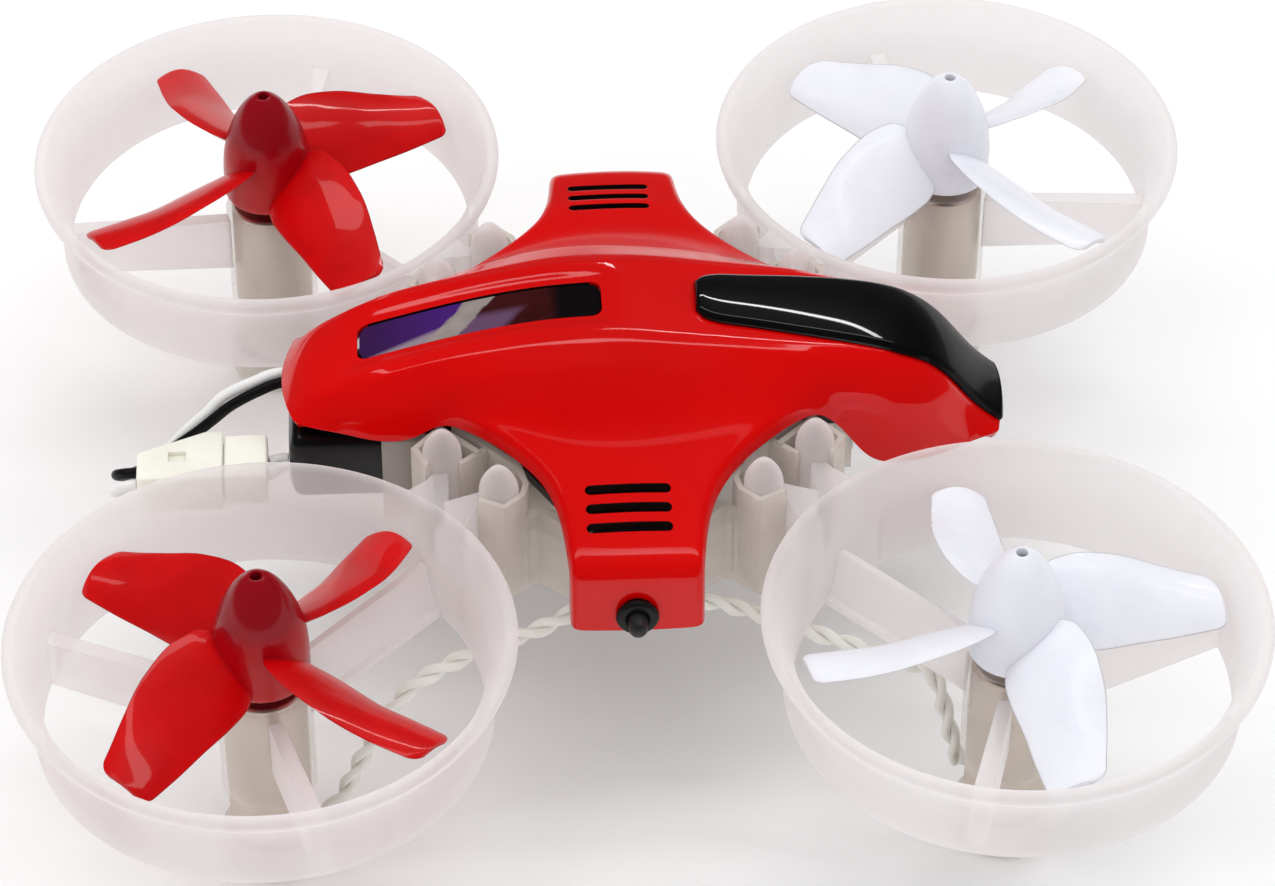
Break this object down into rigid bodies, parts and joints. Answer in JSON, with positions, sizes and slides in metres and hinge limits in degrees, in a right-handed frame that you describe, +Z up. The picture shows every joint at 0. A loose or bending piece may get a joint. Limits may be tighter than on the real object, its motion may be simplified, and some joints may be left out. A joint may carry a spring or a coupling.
{
  "type": "mini palm drone",
  "caption": "Palm-size ducted quadcopter with a glossy red canopy, frosted ducts, bladed spinner propellers and a rear battery.",
  "frame": {"origin": "on the ground under the middle of the square of rotors, at the height of the motor feet", "axes": "+Z up, +X to the craft's front (nose of the canopy), +Y to its left side"},
  "size_m": [0.0898, 0.0898, 0.0297],
  "materials": {
    "battery_black": "black shrink wrap over a foil cell",
    "lead_white": "white insulation",
    "housing_white": "natural nylon",
    "metal_can": "crystal can",
    "chip_black": "moulded chip packages",
    "lead_black": "black insulation",
    "canopy_red": "glossy painted polycarbonate shell",
    "duct_frosted": "frosted translucent plastic",
    "board_black": "black solder mask",
    "rubber_black": "black rubber",
    "frame_clear": "translucent moulded plastic, semi-gloss",
    "motor_case": "satin nickel plated steel",
    "coil": "enamelled copper winding",
    "foot_clear": "soft translucent plastic",
    "magnet": "nickel plated magnet",
    "steel": "ground steel",
    "prop_white": "glossy white moulded plastic",
    "prop_red": "glossy red moulded plastic",
    "window_smoke": "clear smoked plastic",
    "board_purple": "purple solder mask",
    "panel_black": "high-gloss black"
  },
  "bodies": {
    "airframe": {"board_capacitor": "housing_white", "board_crystal": "metal_can", "board_driver_left": "chip_black", "board_driver_right": "chip_black", "board_gyro": "chip_black", "board_lamp": "housing_white", "board_processor": "chip_black", "board_receiver": "chip_black", "canopy": "canopy_red", "duct_front_left": "duct_frosted", "duct_front_right": "duct_frosted", "duct_rear_left": "duct_frosted", "duct_rear_right": "duct_frosted", "flight_board": "board_black", "grommet_left": "rubber_black", "grommet_right": "rubber_black", "main_frame": "frame_clear", "motor_can_front_left": "motor_case", "motor_can_front_right": "motor_case", "motor_can_rear_left": "motor_case", "motor_can_rear_right": "motor_case", "motor_foot_front_left": "foot_clear", "motor_foot_front_right": "foot_clear", "motor_foot_rear_left": "foot_clear", "motor_foot_rear_right": "foot_clear", "motor_leads_front_left": "lead_white", "motor_leads_front_right": "lead_white", "motor_leads_rear_left": "lead_white", "motor_leads_rear_right": "lead_white", "motor_magnet_front_left": "magnet", "motor_magnet_front_right": "magnet", "motor_magnet_rear_left": "magnet", "motor_magnet_rear_right": "magnet", "rear_window": "window_smoke", "upper_board": "board_purple", "windscreen_panel": "panel_black"},
    "rotor_front_right": {"propeller_front_right": "prop_white", "motor_coil_front_right": "coil", "motor_shaft_front_right": "steel"},
    "rotor_front_left": {"propeller_front_left": "prop_white", "motor_coil_front_left": "coil", "motor_shaft_front_left": "steel"},
    "rotor_rear_left": {"propeller_rear_left": "prop_red", "motor_coil_rear_left": "coil", "motor_shaft_rear_left": "steel"},
    "rotor_rear_right": {"propeller_rear_right": "prop_red", "motor_coil_rear_right": "coil", "motor_shaft_rear_right": "steel"},
    "battery_pack": {"battery": "battery_black", "battery_lead_a": "lead_white", "battery_lead_b": "lead_white", "plug_housing": "housing_white", "socket_housing": "housing_white", "board_lead_black": "lead_black", "board_lead_white": "lead_white"}
  },
  "joints": [
    {"name": "spin_front_right", "type": "hinge", "parent": "airframe", "child": "rotor_front_right", "pos_m": [0.0268, -0.0268, 0.02], "axis": [0, 0, 1], "continuous": true},
    {"name": "spin_front_left", "type": "hinge", "parent": "airframe", "child": "rotor_front_left", "pos_m": [0.0268, 0.0268, 0.02], "axis": [0, 0, 1], "continuous": true},
    {"name": "spin_rear_left", "type": "hinge", "parent": "airframe", "child": "rotor_rear_left", "pos_m": [-0.0268, 0.0268, 0.02], "axis": [0, 0, 1], "continuous": true},
    {"name": "spin_rear_right", "type": "hinge", "parent": "airframe", "child": "rotor_rear_right", "pos_m": [-0.0268, -0.0268, 0.02], "axis": [0, 0, 1], "continuous": true},
    {"name": "battery_slide", "type": "slide", "parent": "airframe", "child": "battery_pack", "axis": [-1, 0, 0], "range_m": [0, 0.012]}
  ]
}
